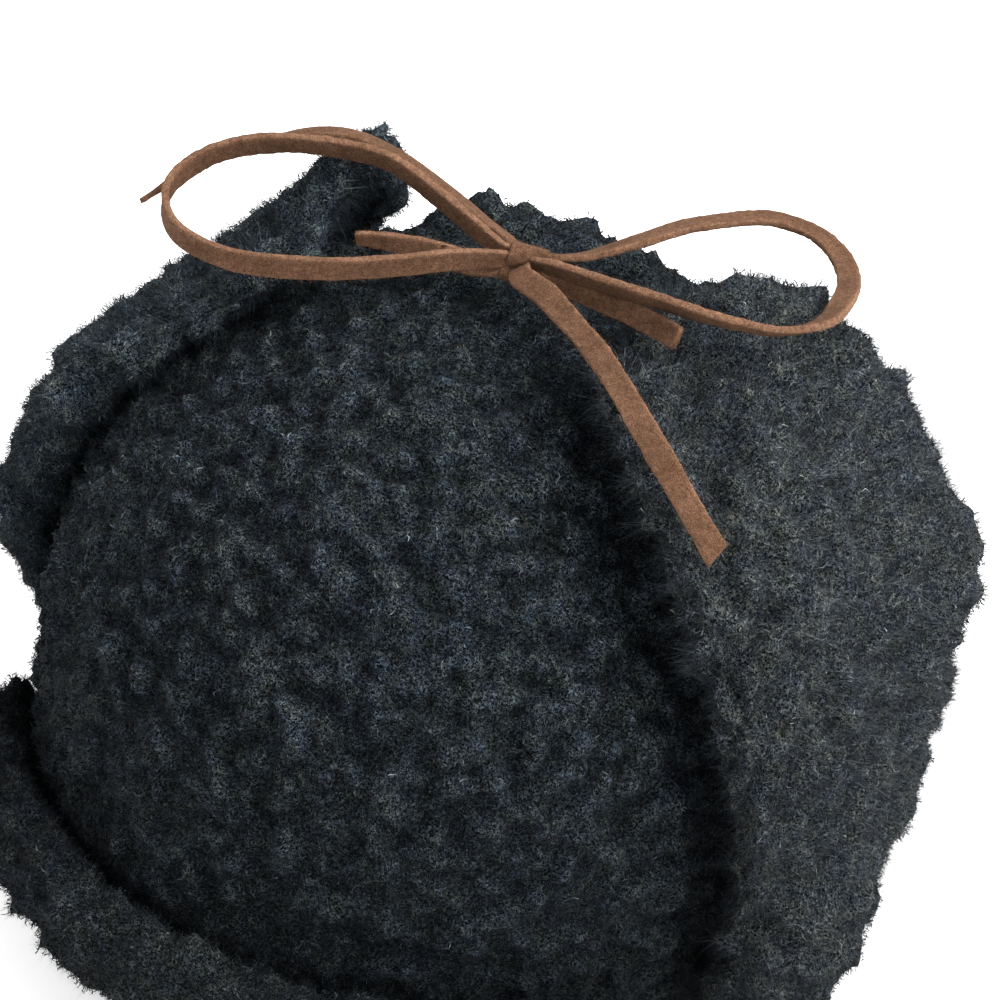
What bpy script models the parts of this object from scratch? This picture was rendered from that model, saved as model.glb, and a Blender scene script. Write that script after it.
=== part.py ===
"""Aviator hat: a fleece crown with turned-up flaps, tied over the top with a flat suede lace in a bow.

Metres, +Z up. The origin is the middle of the head opening, on the plane that the rim rests on.
-Y is the wearer's front and +X is the wearer's left.
"""

import math

import bmesh
import bpy
from mathutils import Vector

# Crown: its outside over the fleece, how far the rim draws in, and the share of the climb below the widest part
HALF_WIDTH = 0.099
HALF_LENGTH = 0.106
HEIGHT = 0.154
WIDEST_HEIGHT = 0.050
RIM_SHARE = 0.955
BAND_CLIMB = 0.26
WALL = 0.010
CROWN_SIDES = 40
CROWN_ROWS = 15

# Flaps: their gap to the crown and how square their edges are
STAND_OFF = 0.0012
EDGE_POWER = 3.2
DEGREES_PER_STRIP = 4.8
STEPS_PER_ROW = 2

# Lace and its knot
LACE_WIDTH = 0.005
LACE_THICKNESS = 0.0016
LACE_STEP = 0.006
READING_STEPS = 20
KNOT = Vector((0.0060, -0.0024, 0.1626))
KNOT_SIZE = (0.0100, 0.0076, 0.0084)
KNOT_ROUNDING = 0.0024
KNOT_TURN = 30

FLEECE_COLOUR = (0.030, 0.036, 0.042)
SUEDE_COLOUR = (0.150, 0.072, 0.045)


def plain_material(name, colour, roughness):
    material = bpy.data.materials.new(name)
    material.use_nodes = True
    shader = material.node_tree.nodes["Principled BSDF"]
    shader.inputs["Base Color"].default_value = (*colour, 1.0)
    shader.inputs["Roughness"].default_value = roughness
    shader.inputs["Metallic"].default_value = 0.0
    return material


def fleece(name):
    return plain_material(name + "_fleece", FLEECE_COLOUR, 0.95)


def suede(name):
    return plain_material(name + "_suede", SUEDE_COLOUR, 0.9)


def dome(turn, climb, shrink=0.0):
    """A point of the crown: turn in degrees round from the front, climb 0 at the rim to 1 at the top."""
    if climb < BAND_CLIMB:
        share = climb / BAND_CLIMB
        reach = 1.0 - (1.0 - RIM_SHARE) * (1.0 - share) ** 2
        height = WIDEST_HEIGHT * share
    else:
        lift = (climb - BAND_CLIMB) / (1.0 - BAND_CLIMB) * math.pi / 2
        reach = math.cos(lift)
        height = WIDEST_HEIGHT + (HEIGHT - shrink - WIDEST_HEIGHT) * math.sin(lift)
    angle = math.radians(turn)
    return Vector((
        (HALF_WIDTH - shrink) * reach * math.sin(angle),
        -(HALF_LENGTH - shrink) * reach * math.cos(angle),
        height,
    ))


def off_dome(turn, climb, stand):
    """A point that stands off the crown's outside, along its normal."""
    step = 0.01
    along = dome(turn + 1.0, climb) - dome(turn - 1.0, climb)
    up = dome(turn, climb + step) - dome(turn, max(climb - step, 0.0))
    return dome(turn, climb) + along.cross(up).normalized() * stand


def finish(name, mesh, material):
    mesh.normal_update()
    data = bpy.data.meshes.new(name)
    mesh.to_mesh(data)
    mesh.free()
    data.shade_smooth()
    data.materials.append(material)
    solid = bpy.data.objects.new(name, data)
    bpy.context.scene.collection.objects.link(solid)
    return solid


def skin(mesh, rings):
    """Joins each ring of points to the next and returns the rings of vertices."""
    made = [[mesh.verts.new(point) for point in ring] for ring in rings]
    count = len(made[0])
    for low, high in zip(made, made[1:]):
        for i in range(count):
            j = (i + 1) % count
            mesh.faces.new((low[i], low[j], high[j], high[i]))
    return made


def fan(mesh, ring, point):
    """Closes the top of a dome."""
    centre = mesh.verts.new(point)
    for i, vertex in enumerate(ring):
        mesh.faces.new((vertex, ring[(i + 1) % len(ring)], centre))


def cap(mesh, ring, outward):
    """Closes the end of a flap across its thickness. The ring starts at one edge and crosses to the other halfway."""
    half = len(ring) // 2
    for i in range(half):
        corners = list(dict.fromkeys((ring[i], ring[i + 1], ring[-i - 1], ring[-i])))
        mesh.faces.new(corners if outward else corners[::-1])


def make_crown():
    turns = [360 * i / CROWN_SIDES for i in range(CROWN_SIDES)]
    climbs = [i / CROWN_ROWS for i in range(CROWN_ROWS)]
    outside = [[dome(turn, climb) for turn in turns] for climb in climbs]
    inside = [[dome(turn, climb, WALL) for turn in turns] for climb in climbs]
    mesh = bmesh.new()
    outer = skin(mesh, outside)
    fan(mesh, outer[-1], dome(0, 1))
    inner = skin(mesh, [ring[::-1] for ring in inside])
    fan(mesh, inner[-1], dome(0, 1, WALL))
    count = CROWN_SIDES
    for i in range(count):
        j = (i + 1) % count
        mesh.faces.new((outer[0][j], outer[0][i], inner[0][count - 1 - i], inner[0][count - 1 - j]))
    return finish("crown", mesh, fleece("crown"))


# Each flap row: climb up the crown, the turns of its two edges, its thickness, and how far each edge stands off.
FLAP_COLUMNS = ("climb", "start", "end", "thickness", "lift_start", "lift_end")

FRONT_FLAP = (
    (0.015, -57, 57, 0.005, 0.001, 0.001),
    (0.05, -60, 60, 0.008, 0.000, 0.000),
    (0.10, -60, 61, 0.011, 0.000, 0.000),
    (0.15, -57, 60, 0.015, 0.000, 0.000),
    (0.20, -50, 58, 0.018, 0.000, 0.001),
    (0.24, -41, 55, 0.016, 0.001, 0.002),
    (0.26, -34, 50, 0.009, 0.003, 0.004),
)

EAR_FLAP_LEFT = (
    (0.015, 75, 126, 0.008, 0.001, 0.001),
    (0.06, 72, 130, 0.013, 0.000, 0.000),
    (0.16, 70, 132, 0.017, 0.000, 0.000),
    (0.30, 67, 132, 0.019, 0.000, 0.000),
    (0.44, 64, 130, 0.022, 0.000, 0.001),
    (0.58, 61, 128, 0.026, 0.000, 0.002),
    (0.70, 59, 126, 0.024, 0.000, 0.004),
    (0.78, 58, 124, 0.018, 0.000, 0.006),
    (0.83, 60, 118, 0.012, 0.000, 0.006),
    (0.86, 66, 108, 0.007, 0.001, 0.004),
)

EAR_FLAP_RIGHT = (
    (0.015, -126, -73, 0.007, 0.001, 0.001),
    (0.06, -130, -71, 0.011, 0.000, 0.000),
    (0.16, -132, -68, 0.015, 0.000, 0.000),
    (0.30, -132, -64, 0.017, 0.000, 0.000),
    (0.44, -130, -59, 0.017, 0.000, 0.000),
    (0.58, -127, -54, 0.013, 0.000, 0.000),
    (0.70, -124, -50, 0.011, 0.003, 0.000),
    (0.78, -117, -48, 0.012, 0.012, 0.000),
    (0.82, -110, -50, 0.012, 0.017, 0.000),
    (0.85, -102, -58, 0.008, 0.017, 0.002),
)

NECK_FLAP = (
    (0.015, 134, 226, 0.008, 0.001, 0.001),
    (0.06, 133, 227, 0.015, 0.000, 0.000),
    (0.16, 133, 227, 0.020, 0.000, 0.000),
    (0.28, 134, 226, 0.021, 0.000, 0.000),
    (0.36, 137, 223, 0.017, 0.001, 0.001),
    (0.39, 142, 218, 0.010, 0.002, 0.002),
)


def between(before, start, end, after, t):
    """A value on the smooth curve through four evenly spaced ones, t of the way from start to end."""
    return 0.5 * (
        2 * start + (end - before) * t
        + (2 * before - 5 * start + 4 * end - after) * t ** 2
        + (3 * start - before - 3 * end + after) * t ** 3
    )


def fill_rows(table):
    """The table's rows with smoothly interpolated ones between them."""
    ends = [table[0], *table, table[-1]]
    rows = []
    for quad in zip(ends, ends[1:], ends[2:], ends[3:]):
        for i in range(STEPS_PER_ROW):
            rows.append([between(*values, i / STEPS_PER_ROW) for values in zip(*quad)])
    rows.append(list(table[-1]))
    return [dict(zip(FLAP_COLUMNS, row)) for row in rows]


def section(row, strips):
    """The outline of a flap at one row: a slab with round edges, bent round the crown."""
    inner, outer = [], []
    for i in range(strips + 1):
        across = 0.5 - 0.5 * math.cos(math.pi * i / strips)
        turn = row["start"] + (row["end"] - row["start"]) * across
        lift = row["lift_start"] + (row["lift_end"] - row["lift_start"]) * across
        middle = STAND_OFF + lift + row["thickness"] / 2
        half = row["thickness"] / 2 * (1 - abs(2 * across - 1) ** EDGE_POWER) ** (1 / EDGE_POWER)
        inner.append(off_dome(turn, row["climb"], middle - half))
        if 0 < i < strips:
            outer.append(off_dome(turn, row["climb"], middle + half))
    return inner[:1] + outer + inner[:0:-1]


def make_flap(name, table):
    rows = fill_rows(table)
    widest = max(row["end"] - row["start"] for row in rows)
    strips = round(widest / DEGREES_PER_STRIP)
    rings = [section(row, strips) for row in rows]
    mesh = bmesh.new()
    made = skin(mesh, rings)
    cap(mesh, made[0], False)
    cap(mesh, made[-1], True)
    return finish(name, mesh, fleece(name))


# Lace routes: points in millimetres along the middle of the flat lace, and the turn of its width at both ends.
# A turn of 0 stands the width upright, and 90 lays it flat.
ROUTE_COLUMNS = ("turn_start", "turn_end", "points")

ROUTES = {
    "lace_right": (90, 90, (
        (1.2, -5.3, 160), (-6, -8.4, 160.3), (-14, -11.4, 161), (-22, -14.8, 161), (-29, -17.8, 159.8),
    )),
    "lace_left": (90, 90, (
        (11.8, 0.4, 159.8), (19, -0.6, 160.4), (28, -2.3, 161.5), (38, -5, 163), (47.3, -8.4, 164.4),
    )),
    "bow_loop_right": (0, 0, (
        (0.4, -3.6, 164.1), (-8, -2, 165.6), (-18.5, -0.6, 168.2), (-30.2, -2.9, 172.4), (-42.6, -9.3, 173.4),
        (-53.8, -14.3, 171.5), (-61, -21.9, 169.1), (-64, -30.5, 165.5), (-61, -37.4, 163.6),
        (-54, -42.3, 161.9), (-45.2, -43, 161), (-35.4, -40.8, 161), (-22.8, -33.2, 161.7),
        (-12.1, -21.9, 162.1), (-5.7, -15.2, 162.9), (2, -7.5, 163.4),
    )),
    "bow_loop_left": (20, -20, (
        (10.4, 1.2, 163.4), (16.2, 6.9, 163.6), (23.6, 16.3, 166.6), (30.9, 29.2, 168.3), (40, 40.2, 169.2),
        (50.2, 43.8, 168.6), (58.5, 41.2, 167.4), (64.7, 33.7, 166.9), (68, 23, 167), (68.5, 12, 167.7),
        (64.2, 1.8, 168.6), (57.2, -3.2, 169.2), (49.4, -4.5, 168.7), (35.3, -4.4, 167.4), (22, -3, 165),
        (12.3, -2.2, 163.5),
    )),
    "bow_tail_front": (-50, -60, (
        (9, -7.2, 162.2), (12.3, -8.7, 162.4), (18, -11.2, 163), (26, -15.1, 162.3), (34.7, -20.1, 162.2),
        (45, -27.6, 162), (55.8, -34.6, 159.6), (64.7, -39.2, 156.2), (72.7, -41, 150.2), (77.7, -41.7, 145.9),
    )),
    "bow_tail_back": (55, 75, (
        (1.2, 0.2, 164.6), (-6.3, 2.5, 164.8), (-17.2, 3.4, 167.6), (-31.1, 1.6, 172.4), (-43.5, -2.8, 174.1),
        (-55.2, -10, 170.6), (-64, -18.1, 166.9), (-66.8, -29, 163.3), (-67.5, -37.9, 161.7),
    )),
}


def smooth_route(points):
    """Points at even steps on a smooth curve that passes through the given ones."""
    ends = [points[0] * 2 - points[1], *points, points[-1] * 2 - points[-2]]
    fine = []
    for before, start, end, after in zip(ends, ends[1:], ends[2:], ends[3:]):
        for i in range(READING_STEPS):
            fine.append(between(before, start, end, after, i / READING_STEPS))
    fine.append(points[-1])
    reach = [0.0]
    for a, b in zip(fine, fine[1:]):
        reach.append(reach[-1] + (b - a).length)
    count = max(round(reach[-1] / LACE_STEP), 2)
    spaced, place = [], 0
    for i in range(count + 1):
        wanted = reach[-1] * i / count
        while place < len(reach) - 2 and reach[place + 1] < wanted:
            place += 1
        share = (wanted - reach[place]) / (reach[place + 1] - reach[place])
        spaced.append(fine[place].lerp(fine[place + 1], min(share, 1.0)))
    return spaced


def make_lace(name, route):
    route = dict(zip(ROUTE_COLUMNS, route))
    points = smooth_route([Vector(point) * 0.001 for point in route["points"]])
    data = bpy.data.curves.new(name, "CURVE")
    data.dimensions = "3D"
    data.twist_mode = "Z_UP"
    data.extrude = (LACE_WIDTH - LACE_THICKNESS) / 2
    data.bevel_depth = LACE_THICKNESS / 2
    data.bevel_resolution = 2
    data.use_fill_caps = True
    spline = data.splines.new("POLY")
    spline.points.add(len(points) - 1)
    for i, point in enumerate(points):
        share = i / (len(points) - 1)
        spline.points[i].co = (*point, 1.0)
        turn = route["turn_start"] + (route["turn_end"] - route["turn_start"]) * share
        spline.points[i].tilt = math.radians(turn)
    data.materials.append(suede(name))
    lace = bpy.data.objects.new(name, data)
    bpy.context.scene.collection.objects.link(lace)
    return lace


def make_knot():
    mesh = bmesh.new()
    bmesh.ops.create_cube(mesh, size=1.0)
    bmesh.ops.scale(mesh, vec=KNOT_SIZE, verts=mesh.verts)
    bmesh.ops.bevel(mesh, geom=mesh.edges[:], offset=KNOT_ROUNDING, segments=3, affect="EDGES", profile=0.5)
    knot = finish("bow_knot", mesh, suede("bow_knot"))
    knot.location = KNOT
    knot.rotation_euler = (0, 0, math.radians(KNOT_TURN))
    return knot


def main():
    for old in list(bpy.data.objects):
        bpy.data.objects.remove(old)
    make_crown()
    make_flap("front_flap", FRONT_FLAP)
    make_flap("ear_flap_left", EAR_FLAP_LEFT)
    make_flap("ear_flap_right", EAR_FLAP_RIGHT)
    make_flap("neck_flap", NECK_FLAP)
    make_knot()
    for name, route in ROUTES.items():
        make_lace(name, route)


main()
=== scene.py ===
import math

import bmesh
import bpy
import numpy as np
from mathutils import Matrix, Vector
from mathutils.bvhtree import BVHTree
from mathutils.kdtree import KDTree


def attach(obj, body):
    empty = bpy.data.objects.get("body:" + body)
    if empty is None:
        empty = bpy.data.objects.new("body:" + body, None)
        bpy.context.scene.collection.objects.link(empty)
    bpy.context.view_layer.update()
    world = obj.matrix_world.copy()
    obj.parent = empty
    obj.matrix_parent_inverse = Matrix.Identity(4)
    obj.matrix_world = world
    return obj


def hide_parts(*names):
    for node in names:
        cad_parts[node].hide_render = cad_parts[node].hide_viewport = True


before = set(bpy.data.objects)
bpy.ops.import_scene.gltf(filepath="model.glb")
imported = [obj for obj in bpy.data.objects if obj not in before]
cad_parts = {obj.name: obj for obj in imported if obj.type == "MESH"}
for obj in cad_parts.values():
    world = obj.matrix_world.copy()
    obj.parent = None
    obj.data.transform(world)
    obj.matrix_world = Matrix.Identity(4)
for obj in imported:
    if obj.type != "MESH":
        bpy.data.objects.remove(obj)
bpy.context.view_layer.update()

scene = bpy.context.scene
print("frame loaded:", len(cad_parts), "nodes")

# Camera: the wearer's left front, well above, a little tilted

cameraLook = {
    "azimuth": 30,             # degrees from the wearer's front towards the wearer's left
    "elevation": 39,
    "roll": 8,
    "distance": 0.430,         # lens to the middle of the hat
    "lens": 64.44,
    "middle": (0, 0, 0.080),
    "aimRight": 0.007,
    "aimUp": 0.012,
}


# from the hat towards a camera or a lamp
def directionOf(look):
    a, e = math.radians(look["azimuth"]), math.radians(look["elevation"])
    return Vector((math.sin(a) * math.cos(e), -math.cos(a) * math.cos(e), math.sin(e)))


def makeCamera(look):
    a = math.radians(look["azimuth"])
    out = directionOf(look)
    eye = Vector(look["middle"]) + out * look["distance"]
    right = Vector((math.cos(a), math.sin(a), 0))
    target = Vector(look["middle"]) + right * look["aimRight"] + out.cross(right) * look["aimUp"]
    back = (eye - target).normalized()
    right = Vector((0, 0, 1)).cross(back).normalized()
    turn = Matrix((right, back.cross(right), back)).transposed()
    turn = turn @ Matrix.Rotation(math.radians(look["roll"]), 3, "Z")
    data = bpy.data.cameras.new("photoCamera")
    data.sensor_width = 36
    data.lens = look["lens"]
    data.clip_start = 0.01
    camera = bpy.data.objects.new("photoCamera", data)
    camera.matrix_world = Matrix.Translation(eye) @ turn.to_4x4()
    scene.collection.objects.link(camera)
    scene.camera = camera


makeCamera(cameraLook)
print("camera placed")

# Small helpers


# verts is an (n, 3) array, faces an (m, k) array of k-sided faces
def newMeshObject(name, verts, faces, material, smooth=True):
    mesh = bpy.data.meshes.new(name)
    verts = np.asarray(verts, np.float32)
    faces = np.asarray(faces, np.int32)
    sides = faces.shape[1]
    mesh.vertices.add(len(verts))
    mesh.vertices.foreach_set("co", verts.ravel())
    mesh.loops.add(faces.size)
    mesh.loops.foreach_set("vertex_index", faces.ravel())
    mesh.polygons.add(len(faces))
    mesh.polygons.foreach_set("loop_start", np.arange(0, faces.size, sides, dtype=np.int32))
    mesh.polygons.foreach_set("use_smooth", np.full(len(faces), smooth))
    mesh.update(calc_edges=True)
    mesh.validate()
    mesh.materials.append(material)
    obj = bpy.data.objects.new(name, mesh)
    scene.collection.objects.link(obj)
    return obj


def setPointValue(obj, name, values):
    layer = obj.data.attributes.new(name, "FLOAT", "POINT")
    layer.data.foreach_set("value", np.asarray(values, np.float32))


# joins rings of points into a closed skin of triangles, with a point added in the middle of each end
# flip: for rings that run the other way round
def skinRings(verts, rings, sides, flip=False):
    a = np.arange(rings - 1)[:, None] * sides
    i = np.arange(sides)[None, :]
    j = (i + 1) % sides
    quads = np.stack([a + i, a + sides + i, a + sides + j, a + j], axis=-1).reshape(-1, 4)
    tris = [quads[:, [0, 1, 2]], quads[:, [0, 2, 3]]]
    for k in (0, rings - 1):
        ring = np.arange(sides) + k * sides
        fan = np.stack([ring, np.roll(ring, -1), np.full(sides, len(verts))], axis=1)
        verts = np.vstack([verts, verts[ring].mean(0)])
        tris.append(fan if k == 0 else fan[:, ::-1])
    tris = np.concatenate(tris)
    return verts, tris[:, ::-1] if flip else tris


def unit(v):
    return v / np.maximum(np.linalg.norm(v, axis=-1, keepdims=True), 1e-12)


# short way to write a material's node tree
class Nodes:
    def __init__(self, name):
        self.material = bpy.data.materials.new(name)
        self.material.use_nodes = True
        self.tree = self.material.node_tree
        self.shader = self.tree.nodes["Principled BSDF"]

    def add(self, kind, **values):
        node = self.tree.nodes.new(kind)
        for key, value in values.items():
            setattr(node, key, value)
        return node

    def link(self, source, target):
        self.tree.links.new(source, target)

    def ramp(self, source, stops):
        node = self.add("ShaderNodeValToRGB")
        for i, (at, colour) in enumerate(stops):
            stop = node.color_ramp.elements[i] if i < 2 else node.color_ramp.elements.new(at)
            stop.position = at
            stop.color = (*colour, 1)
        self.link(source, node.inputs["Fac"])
        return node.outputs["Color"]

    def noise(self, scale, detail=2.0, roughness=0.5):
        place = self.add("ShaderNodeTexCoord")
        node = self.add("ShaderNodeTexNoise")
        node.inputs["Scale"].default_value = scale
        node.inputs["Detail"].default_value = detail
        node.inputs["Roughness"].default_value = roughness
        self.link(place.outputs["Object"], node.inputs["Vector"])
        return node.outputs["Fac"]

    def mix(self, share, first, second, blend="MIX"):
        node = self.add("ShaderNodeMix", data_type="RGBA", blend_type=blend)
        sockets = (node.inputs["Factor"], node.inputs[6], node.inputs[7])
        for socket, value in zip(sockets, (share, first, second)):
            if isinstance(value, bpy.types.NodeSocket):
                self.link(value, socket)
            else:
                socket.default_value = value
        return node.outputs[2]

    def bump(self, height, strength, distance):
        node = self.add("ShaderNodeBump")
        node.inputs["Strength"].default_value = strength
        node.inputs["Distance"].default_value = distance
        self.link(height, node.inputs["Height"])
        self.link(node.outputs["Normal"], self.shader.inputs["Normal"])


# Suede lace

lace = {
    "width": 0.005,
    "thickness": 0.0016,
    "step": 0.0010,            # between rings along the lace
    "cup": 0.00014,            # how far the two edges curl up
    "wobble": 0.00012,
    "rough": 0.00004,
    "napLength": 0.00055,
    "napWidth": 0.00007,
    "napPerMetre": 23000,      # on the two cut edges, and half as many on the faces
    "deep": (0.026, 0.0121, 0.0067),
    "main": (0.065, 0.0336, 0.0193),
    "pale": (0.117, 0.0643, 0.0395),
    "knotHeart": (0.0060, -0.0024, 0.1630),
    "tuck": 0.62,              # share of the way to the knot's heart that a strand goes on
    "pinch": 0.62,             # share of the width that is left where a strand enters the knot
    "pinchOver": 0.0075,
    "taper": (0.62, 0.014),    # share of the width left at the tip, and the length that it narrows over
    "point": (0.22, 0.012),
    "slant": (0.0008, 0.003),  # how far one corner of the cut runs ahead, and over what length
    "seed": 5,
}

# turn: how the width turns along the strand, 0 upright and 90 flat, in degrees
# knotEnds: which ends run into the knot. tip: how the free end is cut. trim: rings taken off that end
# far, lay: kept with each strand, not used here
strands = {
    "lace_right": {
        "turn": (84, 44, 12, -2, -8), "trim": 3,
        "knotEnds": (True, False), "tip": "taper", "far": "object", "lay": "taut",
        "route": (
            (0.0012, -0.0053, 0.1600), (-0.0060, -0.0084, 0.1603), (-0.0140, -0.0114, 0.1610),
            (-0.0220, -0.0148, 0.1610), (-0.0290, -0.0178, 0.1598),
        ),
    },
    "lace_left": {
        "turn": (-60, -34, -26, -24),
        "knotEnds": (True, False), "tip": "square", "far": "object", "lay": "taut",
        "route": (
            (0.0118, 0.0004, 0.1598), (0.0190, -0.0006, 0.1604), (0.0280, -0.0023, 0.1615),
            (0.0380, -0.0050, 0.1630), (0.0473, -0.0084, 0.1644),
        ),
    },
    "bow_loop_right": {
        "turn": (-4, -12, -22, -20, -8, 0, 3, 3, 3, 3),
        "knotEnds": (True, True), "far": "object", "lay": "loose",
        "route": (
            (0.0004, -0.0036, 0.1641), (-0.0080, -0.0020, 0.1656), (-0.0185, -0.0006, 0.1682),
            (-0.0302, -0.0029, 0.1724), (-0.0426, -0.0093, 0.1734), (-0.0538, -0.0143, 0.1715),
            (-0.0610, -0.0219, 0.1691), (-0.0640, -0.0305, 0.1655), (-0.0610, -0.0374, 0.1636),
            (-0.0540, -0.0423, 0.1619), (-0.0452, -0.0430, 0.1610), (-0.0354, -0.0408, 0.1610),
            (-0.0228, -0.0332, 0.1617), (-0.0121, -0.0219, 0.1621), (-0.0057, -0.0152, 0.1629),
            (0.0020, -0.0075, 0.1634),
        ),
    },
    "bow_loop_left": {
        "turn": (-124, -108, -96, -90, -82, -66, -50, -38, -32, -30),
        "knotEnds": (True, True), "far": "object", "lay": "loose",
        "route": (
            (0.0104, 0.0012, 0.1634), (0.0162, 0.0069, 0.1636), (0.0236, 0.0163, 0.1666),
            (0.0309, 0.0292, 0.1683), (0.0400, 0.0402, 0.1692), (0.0502, 0.0438, 0.1686),
            (0.0585, 0.0412, 0.1674), (0.0647, 0.0337, 0.1669), (0.0680, 0.0230, 0.1670),
            (0.0685, 0.0120, 0.1677), (0.0642, 0.0018, 0.1686), (0.0572, -0.0032, 0.1692),
            (0.0494, -0.0045, 0.1687), (0.0353, -0.0044, 0.1674), (0.0220, -0.0030, 0.1650),
            (0.0123, -0.0022, 0.1635),
        ),
    },
    "bow_tail_front": {
        "turn": (-52, -60, -64, -66, -66), "tuck": 1.0, "heart": (0.0066, -0.0018, 0.1612), "pinch": 0.78,
        "knotEnds": (True, False), "tip": "slant", "far": "bare", "lay": "loose",
        "route": (
            (0.0090, -0.0072, 0.1622), (0.0123, -0.0087, 0.1624), (0.0180, -0.0112, 0.1630),
            (0.0260, -0.0151, 0.1623), (0.0347, -0.0201, 0.1622), (0.0450, -0.0276, 0.1620),
            (0.0558, -0.0346, 0.1596), (0.0647, -0.0392, 0.1562), (0.0727, -0.0410, 0.1502),
            (0.0777, -0.0417, 0.1459),
        ),
    },
    "bow_tail_back": {
        "turn": (122, 116, 106, 98, 96, 112, 126),
        "knotEnds": (True, False), "tip": "point", "far": "bare", "lay": "loose",
        "route": (
            (0.0012, 0.0002, 0.1646), (-0.0063, 0.0025, 0.1648), (-0.0172, 0.0034, 0.1676),
            (-0.0311, 0.0016, 0.1724), (-0.0435, -0.0028, 0.1741), (-0.0552, -0.0100, 0.1706),
            (-0.0640, -0.0181, 0.1669), (-0.0668, -0.0290, 0.1633), (-0.0675, -0.0379, 0.1617),
        ),
    },
}


# points at even steps on a smooth curve through the given ones
def smoothRoute(points, step):
    points = np.array(points, float)
    ends = np.vstack([2 * points[0] - points[1], points, 2 * points[-1] - points[-2]])
    fine = []
    for p0, p1, p2, p3 in zip(ends, ends[1:], ends[2:], ends[3:]):
        t = (np.arange(20) / 20)[:, None]
        curve = 2 * p1 + (p2 - p0) * t + (2 * p0 - 5 * p1 + 4 * p2 - p3) * t ** 2
        fine.append(0.5 * (curve + (3 * p1 - p0 - 3 * p2 + p3) * t ** 3))
    fine = np.vstack([*fine, points[-1:]])
    reach = np.concatenate([[0], np.cumsum(np.linalg.norm(np.diff(fine, axis=0), axis=1))])
    count = max(round(reach[-1] / step), 2)
    wanted = np.linspace(0, reach[-1], count + 1)
    return np.stack([np.interp(wanted, reach, fine[:, k]) for k in range(3)], axis=1)


# a slow random wobble, one value for each ring, over about length rings
def wave(rng, count, length, amount):
    knots = max(int(count / length) + 2, 3)
    values = rng.normal(0, amount, knots)
    at = np.linspace(0, knots - 1, count)
    low = np.minimum(at.astype(int), knots - 2)
    t = at - low
    t = t * t * (3 - 2 * t)
    return values[low] * (1 - t) + values[low + 1] * t


# the cut across the lace, as pairs of half width and half thickness
def laceSection():
    flat = np.linspace(-0.86, 0.86, 7)
    ring = [(x, 1.0) for x in flat]
    ring += [(0.95, 0.82), (1.0, 0.35), (1.0, -0.35), (0.95, -0.82)]
    ring += [(x, -1.0) for x in flat[::-1]]
    ring += [(-0.95, -0.82), (-1.0, -0.35), (-1.0, 0.35), (-0.95, 0.82)]
    return np.array(ring)


def suede(name):
    n = Nodes(name)
    mottle = n.ramp(n.noise(900, 4, 0.7), ((0.34, lace["deep"]), (0.68, lace["pale"])))
    speck = n.ramp(n.noise(3600, 3, 0.75), ((0.38, (0.62, 0.60, 0.58)), (0.64, (1.45, 1.45, 1.45))))
    cloud = n.ramp(n.noise(110, 3, 0.5), ((0.35, (0.82, 0.80, 0.78)), (0.65, (1.16, 1.16, 1.16))))
    body = n.mix(0.45, (*lace["main"], 1), mottle)
    body = n.mix(1.0, body, speck, "MULTIPLY")
    edge = n.add("ShaderNodeAttribute", attribute_name="edge")
    rim = n.mix(edge.outputs["Fac"], (1, 1, 1, 1), (1.55, 1.6, 1.65, 1))
    body = n.mix(1.0, body, rim, "MULTIPLY")
    n.link(n.mix(1.0, body, cloud, "MULTIPLY"), n.shader.inputs["Base Color"])
    n.shader.inputs["Roughness"].default_value = 0.95
    n.shader.inputs["Specular IOR Level"].default_value = 0.05
    n.shader.inputs["Sheen Weight"].default_value = 0.04
    n.shader.inputs["Sheen Roughness"].default_value = 0.5
    n.shader.inputs["Sheen Tint"].default_value = (0.75, 0.5, 0.36, 1)
    n.bump(n.noise(3000, 5, 0.75), 0.7, 0.00030)
    return n.material


laceSuede = suede("laceSuede")


# short suede nap, one thin triangle each
def growNap(rng, verts, normals, count):
    root = rng.integers(0, len(verts), count)
    base = verts[root] + rng.normal(0, 0.00020, (count, 3))
    lean = unit(normals[root] + rng.normal(0, 0.75, (count, 3)))
    side = unit(np.cross(lean, rng.normal(0, 1, (count, 3)))) * lace["napWidth"] / 2
    tip = base + lean * lace["napLength"] * rng.uniform(0.3, 1.2, (count, 1))
    return np.stack([base - side, base + side, tip], axis=1).reshape(-1, 3)


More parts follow.
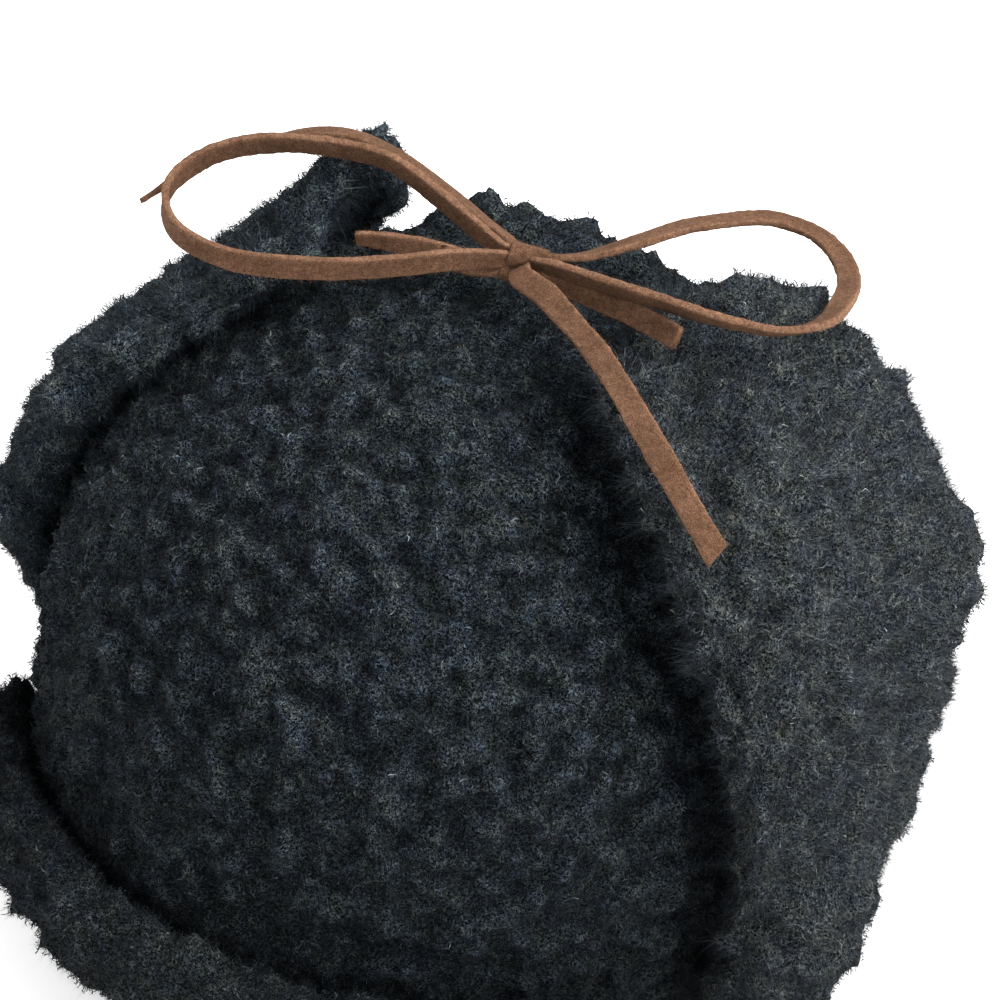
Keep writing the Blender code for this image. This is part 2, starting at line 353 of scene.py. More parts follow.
def makeStrand(name, look):
    rng = np.random.default_rng(lace["seed"] + sum(map(ord, name)))
    route = [np.array(p) for p in look["route"]]
    heart = np.array(look.get("heart", lace["knotHeart"]))
    narrow = look.get("pinch", lace["pinch"])
    for end, at in ((0, 0), (-1, len(route) + 1)):
        if look["knotEnds"][end]:
            route.insert(at, route[end] + (heart - route[end]) * look.get("tuck", lace["tuck"]))
    path = smoothRoute(route, lace["step"])
    path = path[:len(path) - look.get("trim", 0)]
    count = len(path)
    share = np.linspace(0, 1, count)
    along = unit(np.gradient(path, axis=0))
    side = unit(np.cross(along, (0, 0, 1)))
    up = np.cross(side, along)
    turn = np.radians(np.interp(share, np.linspace(0, 1, len(look["turn"])), look["turn"]))[:, None]
    width = up * np.cos(turn) + side * np.sin(turn)
    face = np.cross(along, width)
    fromStart = lace["step"] * np.arange(count)
    fromTip = fromStart[::-1]
    pinch = np.ones(count)
    for tucked, away in zip(look["knotEnds"], (fromStart, fromTip)):
        if tucked:
            freed = np.clip(away / lace["pinchOver"], 0, 1) ** 0.8
            pinch = np.minimum(pinch, narrow + (1 - narrow) * freed)
    tip = look.get("tip")
    if tip == "taper":
        left, over = lace["taper"]
        pinch = np.minimum(pinch, left + (1 - left) * np.clip(fromTip / over, 0, 1))
    if tip == "point":
        left, over = lace["point"]
        pinch = np.minimum(pinch, np.clip(fromTip / over, left, 1))
    halfWidth = lace["width"] / 2 * pinch * (1 + wave(rng, count, 8, 0.03))
    halfThick = lace["thickness"] / 2 * (1 + wave(rng, count, 6, 0.06)) * np.clip(0.55 + 0.45 * pinch, 0, 1)
    sway = wave(rng, count, 12, lace["wobble"])
    section = laceSection()
    across, out = section[:, 0], section[:, 1]
    rough = rng.normal(0, lace["rough"], (count, len(section)))
    curl = lace["cup"] * across[None, :] ** 2
    verts = (
        path[:, None, :]
        + width[:, None, :] * (halfWidth[:, None] * across[None, :] + rough * 1.6)[..., None]
        + face[:, None, :] * (halfThick[:, None] * out[None, :] + curl + sway[:, None] + rough)[..., None]
    )
    if tip == "slant":
        ahead, over = lace["slant"]
        slant = np.clip(1 - fromTip / over, 0, 1)
        verts -= along[:, None, :] * (slant[:, None] * across[None, :] * ahead)[..., None]
    sides = len(section)
    verts, tris = skinRings(verts.reshape(-1, 3), count, sides)
    skin = verts[:count * sides]
    # nap, most of it along the two cut edges
    napCount = fromStart[-1] * lace["napPerMetre"]
    outward = unit(skin - np.repeat(path, sides, axis=0))
    edge = np.flatnonzero(np.tile(np.abs(across) > 0.9, count))
    edgeNap = growNap(rng, verts[edge], outward[edge], int(napCount))
    facing = np.repeat(face, sides, axis=0) * np.tile(np.sign(out), count)[:, None]
    nap = np.vstack([edgeNap, growNap(rng, skin, facing, int(napCount * 0.5))])
    tris = np.concatenate([tris, len(verts) + np.arange(len(nap)).reshape(-1, 3)])
    obj = newMeshObject(name + "_suede", np.vstack([verts, nap]), tris, laceSuede)
    rim = np.tile(np.clip((np.abs(across) - 0.80) / 0.15, 0, 1), count)
    setPointValue(obj, "edge", np.concatenate([rim, [0, 0], np.full(len(nap), 0.8)]))
    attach(obj, "root")
    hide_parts(name)
    return obj, path, float(np.linalg.norm(np.diff(path, axis=0), axis=1).sum())


laces = {name: makeStrand(name, look) for name, look in strands.items()}
print("lace strands made:", {name: round(row[2], 4) for name, row in laces.items()})

# Bow knot: the lace's wrap, which tapers to the right, and the fold under it

knot = {
    "middle": (0.0060, -0.0024, 0.1626),
    "turn": 30,                # degrees round from +X, the line from loop to loop
    "wrapFrom": (-0.0027, 0.0, 0.0010),      # along, away from the front, up
    "wrapTo": (0.0058, -0.0004, 0.0019),
    "wrapHalf": (0.0029, 0.0033),            # half the wrap's depth and height at its wide end
    "tipHalf": (0.0012, 0.0012),
    "foldMiddle": (-0.0026, -0.0008, -0.0030),
    "foldHalf": (0.0027, 0.0020, 0.0017),
    "rings": 26,
    "sides": 40,
    "nap": 1800,
    "seed": 11,
}


def makeKnot():
    rng = np.random.default_rng(knot["seed"])
    a = math.radians(knot["turn"])
    axes = np.array(((math.cos(a), math.sin(a), 0), (-math.sin(a), math.cos(a), 0), (0, 0, 1)))
    rings, sides = knot["rings"], knot["sides"]
    around = np.linspace(0, 2 * math.pi, sides, endpoint=False)
    start, end = np.array(knot["wrapFrom"]), np.array(knot["wrapTo"])
    verts = []
    for k in range(rings):
        s = k / (rings - 1)
        # the first rings turn back under the lip, so the wrap has a rounded edge
        lip = max(0, 1 - s * 9)
        place = start + (end - start) * (s - 0.05 * (1 - lip) * lip)
        half = [w + (t - w) * s ** 0.9 for w, t in zip(knot["wrapHalf"], knot["tipHalf"])]
        pleat = 1 + 0.035 * np.sin(3 * around + 5 * s) * (1 - s)
        ring = np.stack([
            0.0006 * np.cos(around - 1.2) * (1 - s),
            half[0] * np.cos(around) * pleat * (1 - 0.22 * lip),
            half[1] * np.sin(around) * pleat * (1 - 0.22 * lip),
        ], axis=1)
        verts.append(place + ring)
    verts, tris = skinRings(np.vstack(verts), rings, sides, flip=True)
    # the fold under the wrap, a flattened ball with a crease across it
    ball = bmesh.new()
    bmesh.ops.create_icosphere(ball, subdivisions=4, radius=1.0)
    spot = np.array([v.co for v in ball.verts])
    faces = np.array([[v.index for v in f.verts] for f in ball.faces])
    ball.free()
    crease = 1 - 0.16 * np.exp(-(spot[:, 1:2] * 0.5 + spot[:, 0:1] - 0.2) ** 2 / 0.03)
    tris = np.concatenate([tris, faces + len(verts)])
    verts = np.vstack([verts, np.array(knot["foldMiddle"]) + spot * crease * np.array(knot["foldHalf"])])
    verts = verts + rng.normal(0, lace["rough"] / 2, verts.shape)
    inner = np.array((0.0005, 0, 0.0006))
    nap = growNap(rng, verts, unit(verts - inner), knot["nap"])
    tris = np.concatenate([tris, len(verts) + np.arange(len(nap)).reshape(-1, 3)])
    rim, plain = sides * 3, len(verts) - sides * 3
    verts = np.array(knot["middle"]) + np.vstack([verts, nap]) @ axes
    obj = newMeshObject("bow_knot_suede", verts, tris, laceSuede)
    setPointValue(obj, "edge", np.concatenate([np.full(rim, 0.5), np.zeros(plain), np.full(len(nap), 0.6)]))
    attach(obj, "root")
    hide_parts("bow_knot")
    return obj


knotPiece = makeKnot()

print("knot made")

# Fleece

fleece = {
    "ground": (0.0008, 0.0011, 0.0016),
    "thread": (0.0380, 0.0440, 0.0490),
    "curlDark": (0.0010, 0.0014, 0.0020),
    "curlMain": (0.0115, 0.0142, 0.0176),
    "curlPale": (0.1500, 0.1640, 0.1740),
    "sheen": 0.014,
    "sheenTint": (0.75, 0.92, 1.0, 1),
    "spacing": 0.0038,         # between the backing's points, halved where it shows
    "creaseFill": 0.0013,      # how far the fleece swells into a crease between two pieces
    # painted shade: how much darker the fleece is painted in a crease, and along a fold
    "creaseShade": 0.32,
    "foldShade": 0.5,
    # painted shade: below this height the fleece is painted darker towards the bottom
    "paintedShadeHeight": 0.135,        # above this the fleece has its full brightness
    "sink": 0.0008,            # how far the backing lies under the pile's roots
    "seed": 21,
}

# where a piece shows its pile, by its gap to the next piece
# shown, free, rim: where each starts, and how much further it is whole
cover = {
    "look": 0.010,             # farthest gap that is measured
    "shown": (0.0011, 0.0012),
    "free": (0.0010, 0.004),   # room for a tuft to rise
    "leastFree": 0.2,
    "crease": (0.0042, 0.0024),              # gap in the middle of a crease, and its half width
    "domeMiddle": (0, 0, 0.03),
    "inside": -0.15,           # facing this far inward, the crown's wall is its inside
    "rim": (0.0005, 0.003),
}

tufts = {
    "apart": 0.78,             # least distance between centres, as a share of the spacing
    "scatter": 0.12,
    "shortest": 0.45,
    "round": 0.40,
    "bends": ((0.16, 5.0), (0.10, 9.0)),     # how far lumps bend out of round, and how quickly it changes
    "small": (0.50, 0.45),     # spacing and height of the smaller lumps on top
}

# stand: how steeply a fibre rises. lengths, widths, bend: least and most, as shares of the piece's own
pile = {
    "hairWidth": 0.000055,
    "shape": 0.8,              # how much the fibres follow the lumps rather than the piece itself
    "curlAway": 0.7,           # curls lean away from the lump's middle, hairs towards it
    "hairAway": -1.3,
    "curlStand": (0.1, 1.3),
    "hairStand": (0.8, 3.0),
    "curlLengths": (0.5, 1.3),
    "hairLengths": (0.3, 1.2),
    "widths": (0.6, 1.4),
    "bend": (0.2, 0.5),
    "tones": (0.65, 1.65),     # shape of the beta draw: many dark fibres, few pale ones
    "hairTone": (0.42, 0.36),  # a hair's darkest tone, and how much paler it can be
    "root": 0.0002,            # how deep a fibre starts in the backing
}

# tuft: from tuft to tuft. rise: tuft over crevice. shade: painted shade, how much darker a crevice is
# painted.
# curls, hairs: how many. curl, hair: their lengths. wide: a curl's width.
# bright: of the whole piece, in red, green and blue, partly the piece's own tint and partly painted light
# and shade, each piece a lit or shaded copy of the same fleece. low: painted shade, the share of brightness
# left down at the rim.
# folds: soft valleys, painted darker along them as painted shade. swells: soft rises.
# Each of these has its depth or height, its half width and the points that it follows.
pieces = {
    "crown": {
        "tuft": 0.0068, "rise": 0.0058, "curls": 78000, "hairs": 38000, "curl": 0.0019,
        "wide": 0.00028, "hair": 0.0050, "shade": 0.68, "tintAndPaintedLight": (0.84, 0.90, 0.95), "low": 0.24,
        "folds": (), "swells": (
            (0.0085, 0.013, (
                (-0.0220, 0.0250, 0.1490), (-0.0040, 0.0260, 0.1520), (0.0100, 0.0320, 0.1500),
                (0.0240, 0.0360, 0.1460), (0.0330, 0.0360, 0.1420),
            )),
        ),
    },
    "ear_flap_left": {
        "tuft": 0.0090, "rise": 0.0060, "curls": 46000, "hairs": 104000, "curl": 0.0020,
        "wide": 0.00023, "hair": 0.0125, "shade": 0.42, "tintAndPaintedLight": (1.32, 1.27, 1.25), "low": 0.52,
        "folds": (
            (0.0035, 0.006, (
                (0.0470, -0.0030, 0.1626), (0.0538, -0.0113, 0.1612), (0.0586, -0.0170, 0.1593),
                (0.0639, -0.0238, 0.1560), (0.0672, -0.0285, 0.1531),
            )),
            (0.0010, 0.011, (
                (0.0837, -0.0460, 0.1105), (0.0940, -0.0450, 0.0800), (0.1018, -0.0431, 0.0483),
                (0.1040, -0.0420, 0.0250),
            )),
        ), "swells": (
            (0.0070, 0.008, ((0.0500, 0.0130, 0.1638), (0.0590, 0.0250, 0.1615))),
            (0.0050, 0.011, ((0.0720, 0.0260, 0.1550), (0.0850, 0.0279, 0.1445))),
            (0.0100, 0.013, ((0.1015, 0.0230, 0.1235), (0.1040, 0.0200, 0.1200), (0.1070, 0.0160, 0.1140))),
            (0.0105, 0.013, (
                (0.1160, -0.0240, 0.0560), (0.1113, -0.0327, 0.0386), (0.1080, -0.0380, 0.0250),
            )),
        ),
    },
    "ear_flap_right": {
        "tuft": 0.0088, "rise": 0.0056, "curls": 46000, "hairs": 76000, "curl": 0.0020,
        "wide": 0.00024, "hair": 0.0115, "shade": 0.50, "tintAndPaintedLight": (1.18, 1.27, 1.33), "low": 0.50,
        "folds": (
            (0.0020, 0.004, (
                (-0.0428, 0.0045, 0.1711), (-0.0378, 0.0004, 0.1684), (-0.0508, 0.0222, 0.1477),
                (-0.0577, 0.0353, 0.1331),
            )),
        ), "swells": (
            (0.0066, 0.008, (
                (-0.0480, 0.0240, 0.1540), (-0.0515, 0.0310, 0.1440), (-0.0535, 0.0360, 0.1380),
            )),
            (0.0058, 0.012, (
                (-0.0965, -0.0466, 0.0515), (-0.0934, -0.0517, 0.0719), (-0.0806, -0.0548, 0.1069),
                (-0.0770, -0.0440, 0.1240),
            )),
        ),
    },
    "front_flap": {
        "tuft": 0.0084, "rise": 0.0054, "curls": 30000, "hairs": 30000, "curl": 0.0020,
        "wide": 0.00025, "hair": 0.0090, "shade": 0.50, "tintAndPaintedLight": (0.80, 0.80, 0.81), "low": 0.42,
        "folds": (), "swells": (),
    },
    "neck_flap": {
        "tuft": 0.0084, "rise": 0.0054, "curls": 25000, "hairs": 20000, "curl": 0.0020,
        "wide": 0.00025, "hair": 0.0090, "shade": 0.50, "tintAndPaintedLight": (1.0, 1.03, 1.06), "low": 0.50,
        "folds": (), "swells": (),
    },
}


def brighter(colour, shares):
    return tuple(c * s for c, s in zip(colour, shares))


# thin light lines that run where the noise crosses its middle, as curled threads do
def threads(n, scale, thin):
    black, white = (0, 0, 0), (1, 1, 1)
    return n.ramp(n.noise(scale, 3, 0.6), ((0.5 - thin, black), (0.5 + thin, black), (0.5, white)))


# slow changes of tone over the fleece, warmer where it is lighter
def cloudOf(n):
    broad = n.ramp(n.noise(30, 3, 0.6), ((0.35, (0.88, 0.90, 0.94)), (0.65, (1.13, 1.12, 1.07))))
    patches = n.ramp(n.noise(260, 2, 0.6), ((0.36, (0.87, 0.92, 1.04)), (0.64, (1.14, 1.11, 0.97))))
    knots = n.ramp(n.noise(750, 2, 0.6), ((0.36, (0.58, 0.61, 0.68)), (0.64, (1.48, 1.46, 1.36))))
    return n.mix(1.0, n.mix(1.0, broad, patches, "MULTIPLY"), knots, "MULTIPLY")


def fleeceBacking(node, look):
    n = Nodes(node + "_backing")
    height = n.add("ShaderNodeAttribute", attribute_name="tuftHeightAndShade")
    # painted shade: the lower the lumps' height and shade value, the darker the backing, darkest in the
    # crevices
    low = (1 - look["shade"],) * 3
    depth = n.ramp(height.outputs["Fac"], ((0.1, low), (0.75, (1.2, 1.2, 1.2))))
    lines = n.mix(1.0, threads(n, 900, 0.045), threads(n, 1600, 0.055), "LIGHTEN")
    # the piece's own tint, with painted light and shade over the whole piece
    thread = brighter(fleece["thread"], look["tintAndPaintedLight"])
    colour = n.mix(lines, (*brighter(fleece["ground"], look["tintAndPaintedLight"]), 1), (*thread, 1))
    speck = n.ramp(n.noise(1700, 3, 0.8), ((0.38, (0.10, 0.10, 0.10)), (0.64, (2.5, 2.5, 2.5))))
    colour = n.mix(1.0, colour, speck, "MULTIPLY")
    colour = n.mix(1.0, colour, cloudOf(n), "MULTIPLY")
    n.link(n.mix(1.0, colour, depth, "MULTIPLY"), n.shader.inputs["Base Color"])
    n.shader.inputs["Roughness"].default_value = 0.95
    n.shader.inputs["Specular IOR Level"].default_value = 0.05
    n.bump(lines, 0.6, 0.0004)
    return n.material


def fleeceCurl(node, look):
    n = Nodes(node + "_curl")
    # the shade value: each fibre's own random tone, with painted shade in crevices, folds, creases and low
    # down
    shade = n.add("ShaderNodeAttribute", attribute_name="shade")
    # the piece's own tint, with painted light and shade over the whole piece
    tones = [brighter(fleece[key], look["tintAndPaintedLight"]) for key in ("curlDark", "curlPale", "curlMain")]
    colour = n.ramp(shade.outputs["Fac"], ((0.0, tones[0]), (1.0, tones[1]), (0.5, tones[2])))
    n.link(n.mix(1.0, colour, cloudOf(n), "MULTIPLY"), n.shader.inputs["Base Color"])
    n.shader.inputs["Roughness"].default_value = 0.85
    n.shader.inputs["Specular IOR Level"].default_value = 0.05
    n.shader.inputs["Sheen Weight"].default_value = fleece["sheen"]
    n.shader.inputs["Sheen Tint"].default_value = fleece["sheenTint"]
    return n.material


def treeOf(node):
    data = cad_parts[node].data
    return BVHTree.FromPolygons([v.co for v in data.vertices], [p.vertices for p in data.polygons])


trees = {node: treeOf(node) for node in pieces}


# the CAD solid's surface as evenly spaced points and four-sided faces, with the facets smoothed off
def evenMesh(node, spacing):
    source = bpy.data.objects.new("even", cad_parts[node].data.copy())
    scene.collection.objects.link(source)
    remesh = source.modifiers.new("remesh", "REMESH")
    remesh.mode = "VOXEL"
    remesh.voxel_size = spacing
    smooth = source.modifiers.new("smooth", "SMOOTH")
    smooth.factor = 0.5
    smooth.iterations = 4
    bpy.context.view_layer.update()
    done = source.evaluated_get(bpy.context.evaluated_depsgraph_get()).to_mesh()
    verts = np.empty(len(done.vertices) * 3, np.float32)
    normals = np.empty(len(done.vertices) * 3, np.float32)
    quads = np.empty(len(done.loops), np.int32)
    done.vertices.foreach_get("co", verts)
    done.vertices.foreach_get("normal", normals)
    done.loops.foreach_get("vertex_index", quads)
    data = source.data
    bpy.data.objects.remove(source)
    bpy.data.meshes.remove(data)
    normals = unit(normals.reshape(-1, 3).astype(float))
    return verts.reshape(-1, 3).astype(float), normals, quads.reshape(-1, 4)


# splits each shown face in four and joins its neighbours to the new points with triangles
def refine(values, quads, chosen):
    pairs = np.stack([quads, np.roll(quads, -1, axis=1)], axis=-1)
    pairs = np.sort(pairs, axis=-1).reshape(-1, 2)
    edges, edgeOf = np.unique(pairs, axis=0, return_inverse=True)
    edgeOf = edgeOf.reshape(-1, 4)
    split = np.zeros(len(edges), bool)
    split[edgeOf[chosen].ravel()] = True
    touched = split[edgeOf].any(1)
    count = len(values)
    middleOf = np.full(len(edges), -1)
    middleOf[split] = count + np.arange(split.sum())
    centreOf = np.full(len(quads), -1)
    centreOf[touched] = count + split.sum() + np.arange(touched.sum())
    values = np.vstack([values, values[edges[split]].mean(1), values[quads[touched]].mean(1)])
    tris = [quads[~touched][:, [0, 1, 2]], quads[~touched][:, [0, 2, 3]]]
    for k in range(4):
        corner, following = quads[:, k], quads[:, (k + 1) % 4]
        middle, centre = middleOf[edgeOf[:, k]], centreOf
        whole = touched & (middle < 0)
        halved = touched & (middle >= 0)
        tris.append(np.stack([corner, following, centre], axis=1)[whole])
        tris.append(np.stack([corner, middle, centre], axis=1)[halved])
        tris.append(np.stack([middle, following, centre], axis=1)[halved])
    return values, np.concatenate(tris)


# points picked at random, no two nearer than about spacing
def spreadPoints(rng, verts, spacing):
    cells, kept = {}, []
    for k in rng.permutation(len(verts)):
        p = verts[k]
        i, j, m = (p // spacing).astype(int)
        around = [(i + a, j + b, m + c) for a in (-1, 0, 1) for b in (-1, 0, 1) for c in (-1, 0, 1)]
        if all((p - q) @ (p - q) >= spacing * spacing for cell in around for q in cells.get(cell, ())):
            cells.setdefault((i, j, m), []).append(p)
            kept.append(p)
    return np.array(kept)


def distanceTo(points, tree, most):
    far = np.full(len(points), most)
    for k, p in enumerate(points):
        hit = tree.find_nearest(Vector(p), most)
        if hit[3] is not None:
            far[k] = hit[3]
    return far


# 0 up to the start, and 1 from the length beyond it
def stepUp(value, startAndLength):
    start, length = startAndLength
    return np.clip((value - start) / length, 0, 1)


# shown: 1 where the piece shows its pile, 0 where another piece lies on it or it lines the inside
# free: 1 where its tufts have room to rise. crease: 1 where it stands a little way off another piece
def coverOf(node, verts, normals):
    gap = np.full(len(verts), cover["look"])
    for other, tree in trees.items():
        if other != node:
            gap = np.minimum(gap, distanceTo(verts, tree, cover["look"]))
    shown = stepUp(gap, cover["shown"])
    if node == "crown":
        outward = (normals * unit(verts - np.array(cover["domeMiddle"]))).sum(1)
        shown = np.where(outward < cover["inside"], 0.0, shown)
        shown = shown * stepUp(verts[:, 2], cover["rim"])
    free = shown * np.maximum(stepUp(gap, cover["free"]), cover["leastFree"])
    middle, half = cover["crease"]
    crease = shown * np.exp(-((gap - middle) / half) ** 2)
    return np.stack([shown, free, crease], axis=1)


# evens out a value over the mesh by mixing each point with its neighbours once
def softened(value, tris):
    ends = np.concatenate([tris[:, [0, 1]], tris[:, [1, 2]], tris[:, [2, 0]]])
    ends = np.concatenate([ends, ends[:, ::-1]])
    count = np.maximum(np.bincount(ends[:, 0], minlength=len(value)), 1)
    around = np.bincount(ends[:, 0], weights=value[ends[:, 1]], minlength=len(value)) / count
    return 0.5 * value + 0.5 * around


# rounded lumps of pile round scattered centres: height from 0 to 1, and each point's own centre
def tuftsOn(rng, verts, spacing):
    centres = spreadPoints(rng, verts, spacing * tufts["apart"])
    centres = centres + rng.normal(0, spacing * tufts["scatter"], centres.shape)
    tall = rng.uniform(tufts["shortest"], 1.0, len(centres))
    tree = KDTree(len(centres))
    for i, c in enumerate(centres):
        tree.insert(c, i)
    tree.balance()
    bent = verts.copy()
    phase = rng.uniform(0, 6, (2, 3))
    for axis in range(3):
        for k, (far, often) in enumerate(tufts["bends"]):
            along = verts[:, (axis + 1 + k) % 3]
            bent[:, axis] += far * spacing * np.sin(along * often / spacing + phase[k, axis])
    height = np.empty(len(bent))
    which = np.empty(len(bent), int)
    for k, p in enumerate(bent):
        near = tree.find_n(p, 4)
        height[k] = sum(tall[i] * math.exp(-(far / (tufts["round"] * spacing)) ** 2) for _, i, far in near)
        which[k] = near[0][1]
    return np.clip(height, 0, 1), centres[which]


# how far each point takes part in a valley or rise along the given points, from 0 to 1 on the line itself
def pressOf(verts, points, half):
    far = np.full(len(verts), 1.0)
    points = np.array(points)
    for a, b in zip(points, points[1:]):
        t = np.clip(((verts - a) @ (b - a)) / ((b - a) @ (b - a)), 0, 1)
        far = np.minimum(far, np.linalg.norm(verts - a - t[:, None] * (b - a), axis=1))
    return np.exp(-(far / half) ** 2)


def makeFleece(node, look):
    rng = np.random.default_rng(fleece["seed"] + sum(map(ord, node)))
    verts, normals, quads = evenMesh(node, fleece["spacing"])
    covered = coverOf(node, verts, normals)
    split = covered[:, 0][quads].mean(1) > 0.2
    values, tris = refine(np.hstack([verts, normals, covered]), quads, split)
    verts, normals = values[:, :3], unit(values[:, 3:6])
    shown, free, crease = values[:, 6:].T
    smallSpacing, smallRise = tufts["small"]
    height, centre = tuftsOn(rng, verts, look["tuft"])
    small, _ = tuftsOn(rng, verts, look["tuft"] * smallSpacing)
    lift = look["rise"] * (height - 0.5 + smallRise * (small - 0.5)) - fleece["sink"]
    # painted shade: darker along folds, in creases and towards the bottom
    paintedShade = np.ones(len(verts))
    for depth, half, points in look["folds"]:
        press = pressOf(verts, points, half)
        lift = lift - depth * press
        paintedShade = paintedShade * (1 - fleece["foldShade"] * press)
    for rise, half, points in look["swells"]:
        lift = lift + rise * pressOf(verts, points, half)
    lift = softened(lift * free + fleece["creaseFill"] * crease, tris)
    moved = verts + normals * lift[:, None]
    base = newMeshObject(node + "_fleece", moved, tris, fleeceBacking(node, look))
    # painted shade towards the bottom: full brightness only above the given height
    high = np.clip(verts[:, 2] / fleece["paintedShadeHeight"], 0, 1)
    paintedShade = paintedShade * (1 - fleece["creaseShade"] * crease) * (look["low"] + (1 - look["low"]) * high)
    # the lumps' height, with the painted shade multiplied in
    tone = np.where(shown > 0, np.clip(0.7 * height + 0.45 * small, 0, 1) * paintedShade, 0.5)
    setPointValue(base, "tuftHeightAndShade", tone)
    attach(base, "root")
    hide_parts(node)
    shape = np.empty(len(moved) * 3, np.float32)
    base.data.vertices.foreach_get("normal", shape)
    shape = unit(shape.reshape(-1, 3).astype(float))
    makePile(node, look, rng, moved, normals, shape, tris, shown, tone, centre)


# curls and hairs on the fleece
# normals: of the piece itself. shape: of its lumps. centre: the middle of each point's lump
def makePile(node, look, rng, verts, normals, shape, tris, shown, tone, centre):
    a, b, c = (verts[tris[:, i]] for i in range(3))
    weight = np.linalg.norm(np.cross(b - a, c - a), axis=1) * shown[tris].mean(1)
    curls, hairs = look["curls"], look["hairs"]
    count = curls + hairs
    pick = tris[rng.choice(len(tris), count, p=weight / weight.sum())]
    u, v = rng.random((2, count, 1))
    u, v = np.where(u + v > 1, 1 - u, u), np.where(u + v > 1, 1 - v, v)
    share = (1 - u - v, u, v)
    root = sum(s * verts[pick[:, i]] for i, s in enumerate(share))
    up = unit(sum(s * (normals + pile["shape"] * shape)[pick[:, i]] for i, s in enumerate(share)))
    soft = unit(sum(s * shape[pick[:, i]] for i, s in enumerate(share)))
    high = sum(s[:, 0] * tone[pick[:, i]] for i, s in enumerate(share))
    away = root - centre[pick[:, 0]]
    away = (away - up * (away * up).sum(1)[:, None]) / look["tuft"] * 2
    random = rng.normal(0, 1, (count, 3))
    flat = unit(random - up * (random * up).sum(1)[:, None])
    hair = np.arange(count) >= curls
    flat = unit(flat + np.where(hair, pile["hairAway"], pile["curlAway"])[:, None] * away)
    hairStand = rng.uniform(*pile["hairStand"], count)
    stand = np.where(hair, hairStand, rng.uniform(*pile["curlStand"], count))[:, None]
    hairLength = look["hair"] * (0.25 + high ** 1.5) * rng.uniform(*pile["hairLengths"], count)
    curlLength = look["curl"] * rng.uniform(*pile["curlLengths"], count)
    length = np.where(hair, hairLength, curlLength)[:, None]
    along = unit(flat + up * stand)
    tip = root + along * length
    root = root - up * pile["root"]
    # painted shade: fibres are darker where the lumps are low and where the painted shade is deep
    tone = rng.beta(*pile["tones"], count) * (1 - look["shade"] + look["shade"] * 1.5 * high)
    darkest, spread = pile["hairTone"]
    tone = np.where(hair, darkest + spread * tone, np.clip(tone, 0, 1))
    # a curl is two triangles that bend in the middle, a hair is one
    bow = unit(np.cross(along, rng.normal(0, 1, (count, 3))) + 0.4 * up)
    middle = (root + tip) / 2 + bow * length * rng.uniform(*pile["bend"], (count, 1))
    half = np.where(hair, pile["hairWidth"], look["wide"])[:, None] / 2
    half = half * rng.uniform(*pile["widths"], (count, 1))
    side = unit(np.cross(along, soft + 0.5 * rng.normal(0, 1, (count, 3)))) * half
    m, h = slice(0, curls), slice(curls, count)
    curlPoints = np.stack([root[m], middle[m] + side[m], middle[m] - side[m], tip[m]], axis=1).reshape(-1, 3)
    hairPoints = np.stack([root[h] + side[h], root[h] - side[h], tip[h]], axis=1).reshape(-1, 3)
    start = np.arange(curls)[:, None] * 4
    faces = np.concatenate([
        np.concatenate([start + [0, 1, 2], start + [2, 1, 3]], axis=1).reshape(-1, 3),
        curls * 4 + np.arange(hairs * 3).reshape(-1, 3),
    ])
    # each face shows its lit side outward
    points = np.vstack([curlPoints, hairPoints])
    p0, p1, p2 = (points[faces[:, i]] for i in range(3))
    lit = np.vstack([np.repeat(soft[m], 2, axis=0), soft[h]])
    wrong = (np.cross(p1 - p0, p2 - p0) * lit).sum(1) < 0
    faces[wrong] = faces[wrong][:, ::-1]
    fibres = newMeshObject(node + "_pile", points, faces, fleeceCurl(node, look))
    setPointValue(fibres, "shade", np.concatenate([np.repeat(tone[m], 4), np.repeat(tone[h], 3)]))
    lean = unit(soft + 0.35 * rng.normal(0, 1, (count, 3)))
    lean = np.vstack([np.repeat(lean[m], 4, axis=0), np.repeat(lean[h], 3, axis=0)])
    fibres.data.normals_split_custom_set_from_vertices(lean.tolist())
    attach(fibres, "root")


for node, look in pieces.items():
    makeFleece(node, look)
    print("fleece made:", node)

# Stage: pale floor, white surround, soft lights

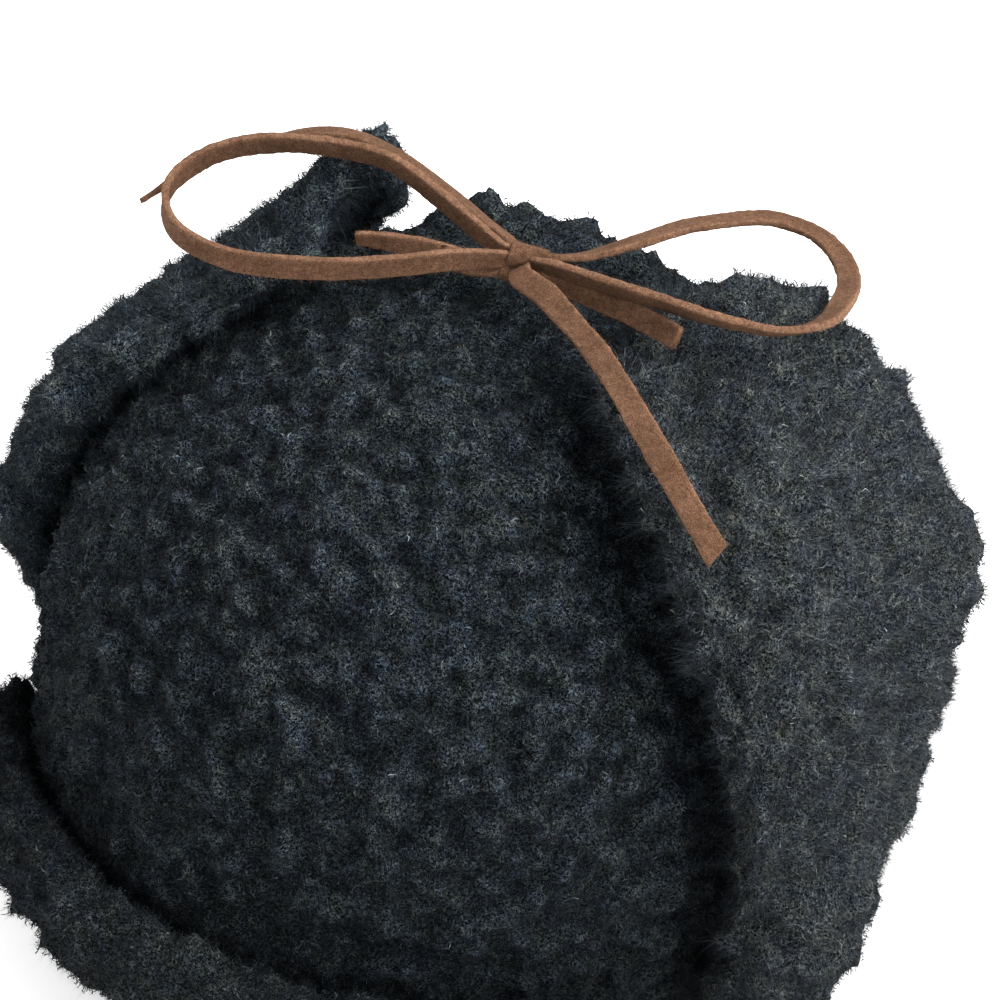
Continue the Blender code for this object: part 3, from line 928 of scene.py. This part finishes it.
stageLook = {
    "floorSize": 6.0,
    "floorHeight": -0.0003,    # a hair under the rim
    "floorColour": (0.93, 0.93, 0.93),
    "floorGlow": 0.22,         # keeps the hat's shadow on the floor pale
    "surround": 1.0,
}

lights = {
    "key": {"azimuth": 95, "elevation": 45, "distance": 1.1, "size": 0.8, "watts": 30},
    "top": {"azimuth": 170, "elevation": 72, "distance": 1.2, "size": 0.9, "watts": 14},
    "fill": {"azimuth": -50, "elevation": 30, "distance": 1.4, "size": 1.0, "watts": 11},
}


def makeStage():
    n = Nodes("paleFloor")
    n.shader.inputs["Base Color"].default_value = (*stageLook["floorColour"], 1)
    n.shader.inputs["Roughness"].default_value = 0.9
    n.shader.inputs["Specular IOR Level"].default_value = 0.1
    n.shader.inputs["Emission Color"].default_value = (1, 1, 1, 1)
    n.shader.inputs["Emission Strength"].default_value = stageLook["floorGlow"]
    half, z = stageLook["floorSize"] / 2, stageLook["floorHeight"]
    corners = [(-half, -half, z), (half, -half, z), (half, half, z), (-half, half, z)]
    floor = newMeshObject("floor", corners, np.array([(0, 1, 2, 3)]), n.material, smooth=False)
    world = bpy.data.worlds.new("studio")
    world.use_nodes = True
    world.node_tree.nodes["Background"].inputs["Color"].default_value = (1, 1, 1, 1)
    world.node_tree.nodes["Background"].inputs["Strength"].default_value = stageLook["surround"]
    scene.world = world
    for name, look in lights.items():
        data = bpy.data.lights.new(name, "AREA")
        data.shape = "DISK"
        data.size = look["size"]
        data.energy = look["watts"]
        light = bpy.data.objects.new(name, data)
        out = directionOf(look)
        light.location = Vector(cameraLook["middle"]) + out * look["distance"]
        light.rotation_euler = out.to_track_quat("Z", "Y").to_euler()
        scene.collection.objects.link(light)
    scene.view_settings.view_transform = "Standard"


makeStage()
print("stage and lights placed")

bpy.context.view_layer.update()
shownMeshes = [o for o in scene.objects if o.type == "MESH" and not o.hide_render]
triangles = {o.name: len(o.data.loops) - 2 * len(o.data.polygons) for o in shownMeshes}
print("sizes written, triangles:", sum(triangles.values()), triangles)
